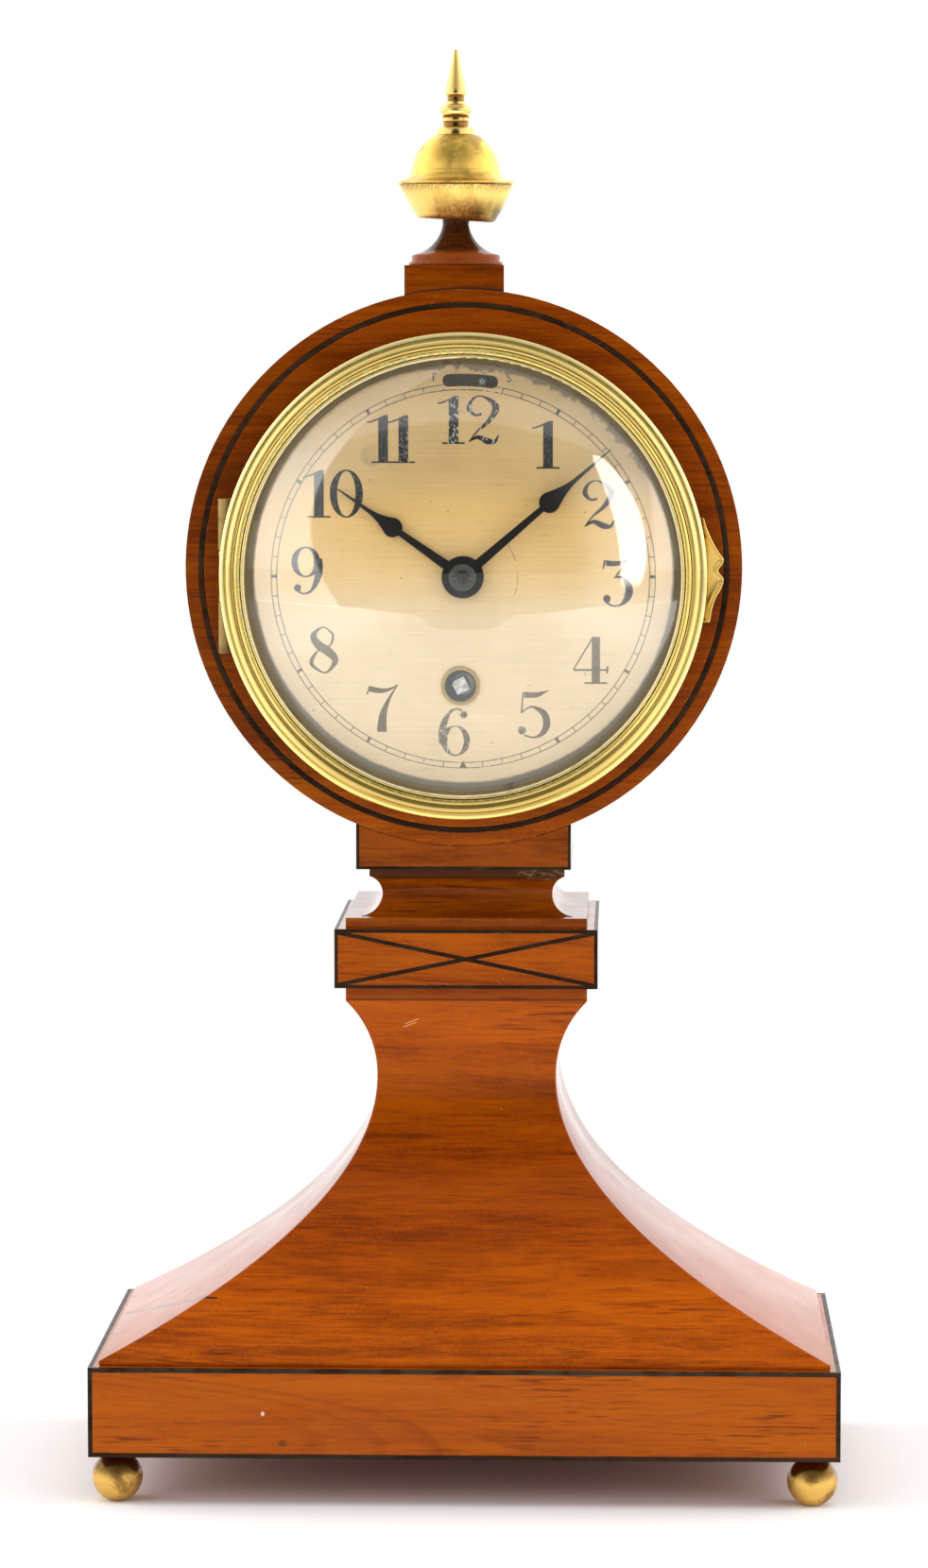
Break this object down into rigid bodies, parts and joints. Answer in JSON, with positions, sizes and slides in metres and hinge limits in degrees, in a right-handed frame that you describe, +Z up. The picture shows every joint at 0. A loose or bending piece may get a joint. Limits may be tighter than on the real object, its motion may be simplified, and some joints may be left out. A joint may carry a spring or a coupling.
{
  "type": "balloon clock",
  "caption": "Balloon mantel clock: a round wooden drum with a hinged glazed bezel on a flared pedestal and plinth, with a turned brass finial and a lever movement.",
  "frame": {"origin": "middle of the plinth's plan, on the surface that the feet stand on", "axes": "+Z up, the dial faces -Y, +X to the right of a person facing the dial"},
  "size_m": [0.151, 0.085, 0.2926],
  "materials": {
    "wood": "French polished satinwood",
    "wood_dark": "polished, darker",
    "ebony": "ebony inlay, rubbed",
    "brass_old": "aged, spotted",
    "brass": "polished",
    "dial": "silvered, yellowed",
    "black": "blackened",
    "steel": "plain",
    "glass": "clear, domed"
  },
  "bodies": {
    "case": {"plinth": "wood", "plinth_edging": "ebony", "foot_front_left": "brass_old", "foot_front_right": "brass_old", "foot_back_left": "brass_old", "foot_back_right": "brass_old", "flared_pedestal": "wood", "cross_block": "wood", "block_edging": "ebony", "cross_stringing": "ebony", "scotia_moulding": "wood", "saddle_block": "wood", "saddle_edging": "ebony", "drum_case": "wood", "ring_stringing": "ebony", "finial_block": "wood", "finial_socle": "wood_dark", "finial_stud": "steel", "finial_cup": "brass_old", "finial_dome": "brass", "finial_spire": "brass", "dial_ring": "brass", "dial_plate": "dial", "winding_collet": "brass", "bezel_hinge_pin": "brass", "front_plate": "brass", "back_plate": "brass", "plate_pillars": "brass", "click_spring": "steel", "escape_platform": "brass", "back_ring": "brass", "strap_screws": "steel"},
    "bezel_door": {"bezel_ring": "brass", "bezel_tab": "brass", "convex_glass": "glass", "glass_retainer": "brass"},
    "minute": {"minute_hand": "black", "cannon_pinion": "steel"},
    "hour": {"hour_hand": "black", "hour_wheel": "brass"},
    "minute_wheel": {"minute_wheel": "brass"},
    "barrel": {"spring_barrel": "brass", "barrel_cover": "brass"},
    "winder": {"winding_arbor": "steel", "ratchet_wheel": "steel"},
    "click": {"click": "steel"},
    "centre": {"centre_wheel": "brass", "hand_collet": "steel"},
    "third": {"third_wheel": "brass"},
    "fourth": {"fourth_wheel": "brass"},
    "escape": {"escape_wheel": "steel"},
    "lever": {"pallet_lever": "steel"},
    "balance": {"balance_wheel": "brass", "hairspring": "steel"},
    "index": {"regulator_index": "steel"},
    "back_door": {"back_door": "brass"}
  },
  "joints": [
    {"name": "bezel_hinge", "type": "hinge", "parent": "case", "child": "bezel_door", "pos_m": [-0.0485, -0.0285, 0.18645], "axis": [0, 0, -1], "range_deg": [0, 95]},
    {"name": "minute_turn", "type": "hinge", "parent": "case", "child": "minute", "pos_m": [-0.0005, -0.0265, 0.18645], "axis": [0, 1, 0], "continuous": true},
    {"name": "hour_turn", "type": "hinge", "parent": "case", "child": "hour", "pos_m": [-0.0005, -0.0265, 0.18645], "axis": [0, 1, 0], "continuous": true},
    {"name": "minute_wheel_turn", "type": "hinge", "parent": "case", "child": "minute_wheel", "pos_m": [-0.0089, -0.0235, 0.18645], "axis": [0, 1, 0], "continuous": true},
    {"name": "fourth_turn", "type": "hinge", "parent": "case", "child": "fourth", "pos_m": [-0.00275, -0.0085, 0.20192], "axis": [0, 1, 0], "continuous": true},
    {"name": "third_turn", "type": "hinge", "parent": "case", "child": "third", "pos_m": [-0.01299, -0.0085, 0.19475], "axis": [0, 1, 0], "continuous": true},
    {"name": "centre_turn", "type": "hinge", "parent": "case", "child": "centre", "pos_m": [-0.0005, -0.0085, 0.18645], "axis": [0, 1, 0], "continuous": true},
    {"name": "barrel_turn", "type": "hinge", "parent": "case", "child": "barrel", "pos_m": [-0.001, -0.0085, 0.16464], "axis": [0, 1, 0], "continuous": true},
    {"name": "escape_turn", "type": "hinge", "parent": "case", "child": "escape", "pos_m": [0.00775, -0.0085, 0.20192], "axis": [0, 1, 0], "continuous": true},
    {"name": "winding_turn", "type": "hinge", "parent": "case", "child": "winder", "pos_m": [-0.001, -0.0085, 0.16464], "axis": [0, 1, 0], "continuous": true},
    {"name": "click_lift", "type": "hinge", "parent": "case", "child": "click", "pos_m": [0.004, -0.0225, 0.1733], "axis": [0, 1, 0], "range_deg": [0, 8], "deforming": ["click_spring"]},
    {"name": "balance_swing", "type": "hinge", "parent": "case", "child": "balance", "pos_m": [0.0009, -0.0145, 0.21045], "axis": [0, 1, 0], "range_deg": [-120, 120], "stiffness_Nm_per_rad": 0.000012, "deforming": ["hairspring"]},
    {"name": "lever_swing", "type": "hinge", "parent": "case", "child": "lever", "pos_m": [0.00407, -0.0095, 0.2065], "axis": [0, 1, 0], "range_deg": [-4, 4]},
    {"name": "index_turn", "type": "hinge", "parent": "case", "child": "index", "pos_m": [0.0009, -0.0215, 0.21045], "axis": [0, 1, 0], "range_deg": [-25, 7]},
    {"name": "back_hinge", "type": "hinge", "parent": "case", "child": "back_door", "pos_m": [-0.0481, 0.0291, 0.18645], "axis": [0, 0, 1], "range_deg": [0, 100]}
  ],
  "couplings": [
    {"joint": "minute_wheel_turn", "follows": "minute_turn", "ratio": -0.33333},
    {"joint": "hour_turn", "follows": "minute_turn", "ratio": 0.083333},
    {"joint": "third_turn", "follows": "fourth_turn", "ratio": -0.13333},
    {"joint": "centre_turn", "follows": "fourth_turn", "ratio": 0.016667},
    {"joint": "barrel_turn", "follows": "fourth_turn", "ratio": -0.0027778},
    {"joint": "escape_turn", "follows": "fourth_turn", "ratio": -9},
    {"joint": "lever_swing", "follows": "balance_swing", "ratio": 0.033333}
  ]
}
